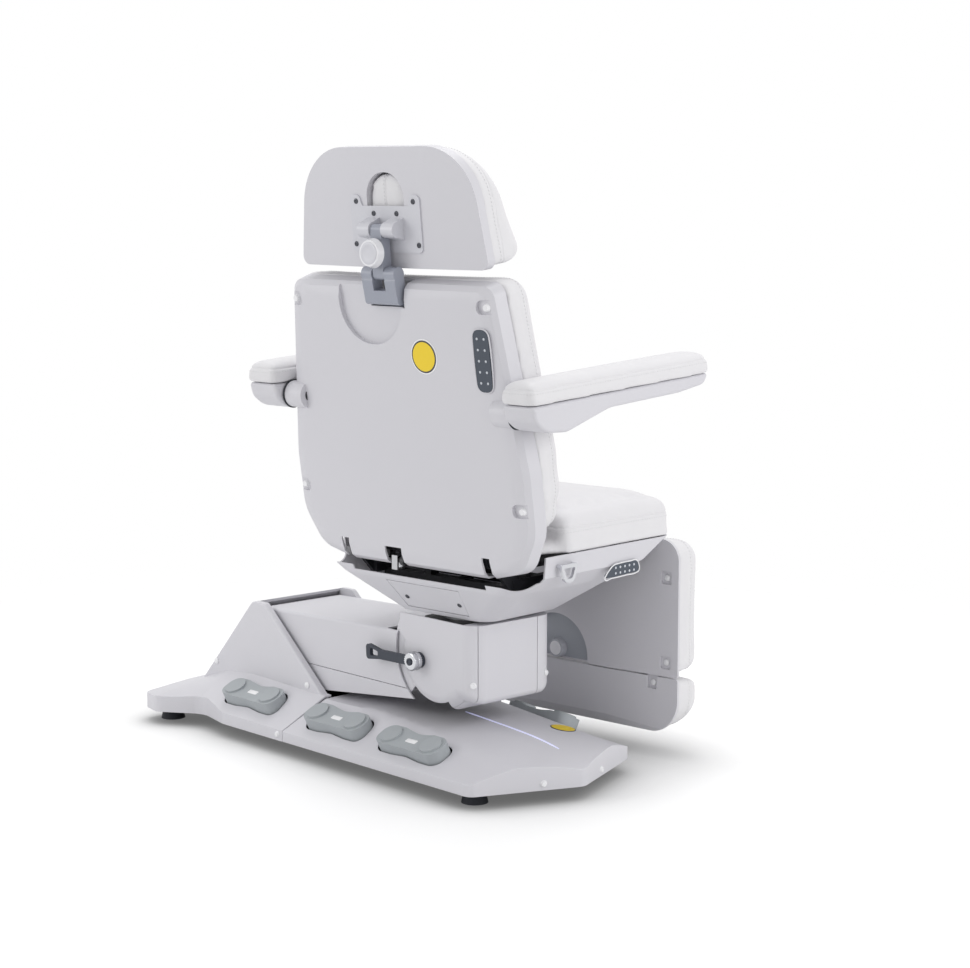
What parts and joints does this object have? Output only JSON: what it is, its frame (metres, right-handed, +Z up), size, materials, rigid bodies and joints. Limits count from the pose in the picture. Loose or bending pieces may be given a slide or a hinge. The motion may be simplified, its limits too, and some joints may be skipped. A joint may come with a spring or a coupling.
{
  "type": "beauty treatment chair",
  "caption": "Electric beauty treatment chair: padded seat on a low base with a lift arm, swivel, reclining backrest, folding armrests, tilting headrest and extending leg rest.",
  "frame": {"origin": "on the floor under the middle of the bounding box at rest", "axes": "the seat faces -Y, the sitter's right is -X, +Z is up"},
  "size_m": [1.2945, 0.75, 1.3257],
  "materials": {
    "shell": "satin",
    "upholstery": "smooth grained",
    "pedal_grey": "matte",
    "hinge_grey": "satin",
    "plate": "satin",
    "frame_steel": "powder coat",
    "bright_steel": "ground",
    "keypad": "smooth membrane",
    "lever": "moulded",
    "foot_rubber": "matte",
    "knob": "smooth",
    "cap": "smooth",
    "motor": "moulded"
  },
  "bodies": {
    "base": {"base_frame": "frame_steel", "base_front_cover": "shell", "base_rear_cover": "shell", "levelling_feet": "foot_rubber", "tower_pins": "bright_steel", "control_box": "motor", "base_caps": "cap"},
    "lift_arm": {"arm_frame": "frame_steel", "arm_upper_cover": "shell", "arm_lower_cover": "shell"},
    "links": {"parallel_links": "frame_steel"},
    "lift_tube": {"lift_actuator_tube": "motor"},
    "lift_rod": {"lift_actuator_rod": "bright_steel"},
    "head": {"head_frame": "frame_steel", "head_right_cover": "shell", "head_front_cover": "shell", "head_left_cover": "shell", "swivel_bearing": "bright_steel", "head_caps": "cap"},
    "swivel_lever": {"swivel_lever": "lever"},
    "seat": {"seat_frame": "frame_steel", "seat_shell": "shell", "seat_rear_panel": "shell", "seat_cushion": "upholstery", "side_keypad": "keypad", "hanging_loop": "bright_steel", "recline_actuator_tube": "motor", "leg_actuator_tube": "motor"},
    "backrest": {"backrest_shell": "shell", "backrest_frame": "frame_steel", "backrest_cushion": "upholstery", "back_keypad": "keypad", "back_caps": "cap"},
    "recline_rod": {"recline_rod": "bright_steel"},
    "legrest": {"legrest_shell": "shell", "legrest_frame": "frame_steel", "rail_guides": "bright_steel", "legrest_cushion": "upholstery"},
    "leg_rod": {"leg_rod": "bright_steel"},
    "footrest": {"footrest_shell": "shell", "footrest_rails": "bright_steel", "footrest_cushion": "upholstery"},
    "footrest_knob": {"footrest_knob": "knob"},
    "armrest_right": {"armrest_right_shell": "shell", "armrest_right_pad": "upholstery"},
    "armrest_left": {"armrest_left_shell": "shell", "armrest_left_pad": "upholstery"},
    "headrest_stem": {"headrest_stem": "hinge_grey"},
    "headrest_link": {"headrest_link": "hinge_grey"},
    "headrest": {"headrest_plate": "plate", "headrest_shell": "shell", "headrest_cushion": "upholstery", "face_plug": "upholstery"},
    "headrest_knob": {"headrest_knob": "knob"},
    "pedal_right_front": {"pedal_right_front": "pedal_grey"},
    "pedal_right_middle": {"pedal_right_middle": "pedal_grey"},
    "pedal_right_rear": {"pedal_right_rear": "pedal_grey"},
    "pedal_left_front": {"pedal_left_front": "pedal_grey"},
    "pedal_left_middle": {"pedal_left_middle": "pedal_grey"},
    "pedal_left_rear": {"pedal_left_rear": "pedal_grey"}
  },
  "joints": [
    {"name": "lift", "type": "hinge", "parent": "base", "child": "lift_arm", "pos_m": [0.28768, 0.01881, 0.225], "axis": [0.0872, 0.9962, 0], "range_deg": [0, 36]},
    {"name": "link_turn", "type": "hinge", "parent": "base", "child": "links", "pos_m": [0.28768, 0.01881, 0.155], "axis": [0.0872, 0.9962, 0], "range_deg": [0, 36]},
    {"name": "head_level", "type": "hinge", "parent": "lift_arm", "child": "head", "pos_m": [-0.2403, 0.065, 0.268], "axis": [0.0872, 0.9962, 0], "range_deg": [-36, 0]},
    {"name": "lift_tube_turn", "type": "hinge", "parent": "base", "child": "lift_tube", "pos_m": [0.35742, 0.01271, 0.112], "axis": [0.0872, 0.9962, 0], "range_deg": [0, 28.27]},
    {"name": "lift_rod_slide", "type": "slide", "parent": "lift_tube", "child": "lift_rod", "axis": [-0.9531, 0.0834, 0.291], "range_m": [0, 0.0414]},
    {"name": "lever_lift", "type": "hinge", "parent": "head", "child": "swivel_lever", "pos_m": [-0.18332, 0.1885, 0.25], "axis": [0.0872, 0.9962, 0], "range_deg": [0, 30]},
    {"name": "swivel", "type": "hinge", "parent": "head", "child": "seat", "pos_m": [-0.2403, 0.065, 0.347], "axis": [0, 0, 1], "range_deg": [-200, 10]},
    {"name": "recline", "type": "hinge", "parent": "seat", "child": "backrest", "pos_m": [-0.2403, 0.215, 0.498], "axis": [-1, 0, 0], "range_deg": [0, 75]},
    {"name": "recline_rod_slide", "type": "slide", "parent": "seat", "child": "recline_rod", "axis": [0, -1, 0], "range_m": [0, 0.0419]},
    {"name": "leg_raise", "type": "hinge", "parent": "seat", "child": "legrest", "pos_m": [-0.2403, -0.247, 0.486], "axis": [-1, 0, 0], "range_deg": [0, 88]},
    {"name": "leg_rod_slide", "type": "slide", "parent": "seat", "child": "leg_rod", "axis": [0, -1, 0], "range_m": [0, 0.0477]},
    {"name": "footrest_extend", "type": "slide", "parent": "legrest", "child": "footrest", "axis": [0, 0, -1], "range_m": [0, 0.15]},
    {"name": "footrest_knob_turn", "type": "hinge", "parent": "legrest", "child": "footrest_knob", "pos_m": [-0.1883, -0.261, 0.209], "axis": [0, 1, 0], "range_deg": [-180, 180]},
    {"name": "armrest_right_fold", "type": "hinge", "parent": "backrest", "child": "armrest_right", "pos_m": [-0.5753, 0.28693, 0.80676], "axis": [-1, 0, 0], "range_deg": [0, 95]},
    {"name": "armrest_left_fold", "type": "hinge", "parent": "backrest", "child": "armrest_left", "pos_m": [0.0947, 0.28693, 0.80676], "axis": [-1, 0, 0], "range_deg": [0, 95]},
    {"name": "headrest_raise", "type": "slide", "parent": "backrest", "child": "headrest_stem", "axis": [0, 0.1478, 0.989], "range_m": [0, 0.08]},
    {"name": "headrest_link_swing", "type": "hinge", "parent": "headrest_stem", "child": "headrest_link", "pos_m": [-0.2403, 0.337, 1.07], "axis": [-1, 0, 0], "range_deg": [0, 30]},
    {"name": "headrest_tilt", "type": "hinge", "parent": "headrest_link", "child": "headrest", "pos_m": [-0.2403, 0.344, 1.158], "axis": [-1, 0, 0], "range_deg": [0, 40]},
    {"name": "headrest_knob_turn", "type": "hinge", "parent": "headrest_link", "child": "headrest_knob", "pos_m": [-0.2403, 0.361, 1.112], "axis": [0, 1, 0], "range_deg": [-180, 180]},
    {"name": "pedal_right_front_rock", "type": "hinge", "parent": "base", "child": "pedal_right_front", "pos_m": [-0.23861, 0.24496, 0.07252], "axis": [-0.0783, -0.8954, 0.4384], "range_deg": [-3, 3], "stiffness_Nm_per_rad": 12},
    {"name": "pedal_right_middle_rock", "type": "hinge", "parent": "base", "child": "pedal_right_middle", "pos_m": [0.00845, 0.22335, 0.07752], "axis": [-0.0783, -0.8954, 0.4384], "range_deg": [-3, 3], "stiffness_Nm_per_rad": 12},
    {"name": "pedal_right_rear_rock", "type": "hinge", "parent": "base", "child": "pedal_right_rear", "pos_m": [0.3093, 0.19703, 0.08252], "axis": [-0.0783, -0.8954, 0.4384], "range_deg": [-3, 3], "stiffness_Nm_per_rad": 12},
    {"name": "pedal_left_front_rock", "type": "hinge", "parent": "base", "child": "pedal_left_front", "pos_m": [-0.26988, -0.11252, 0.07252], "axis": [-0.0783, -0.8954, -0.4384], "range_deg": [-3, 3], "stiffness_Nm_per_rad": 12},
    {"name": "pedal_left_middle_rock", "type": "hinge", "parent": "base", "child": "pedal_left_middle", "pos_m": [-0.02283, -0.13414, 0.07752], "axis": [-0.0783, -0.8954, -0.4384], "range_deg": [-3, 3], "stiffness_Nm_per_rad": 12},
    {"name": "pedal_left_rear_rock", "type": "hinge", "parent": "base", "child": "pedal_left_rear", "pos_m": [0.27802, -0.16046, 0.08252], "axis": [-0.0783, -0.8954, -0.4384], "range_deg": [-3, 3], "stiffness_Nm_per_rad": 12}
  ],
  "couplings": [
    {"joint": "link_turn", "follows": "lift", "ratio": 1},
    {"joint": "head_level", "follows": "lift", "ratio": -1},
    {"joint": "lift_tube_turn", "follows": "lift", "ratio": 0.77982},
    {"joint": "lift_rod_slide", "follows": "lift", "m_per_rad": 0.065123},
    {"joint": "recline_rod_slide", "follows": "recline", "m_per_rad": 0.031624},
    {"joint": "leg_rod_slide", "follows": "leg_raise", "m_per_rad": 0.030755}
  ]
}
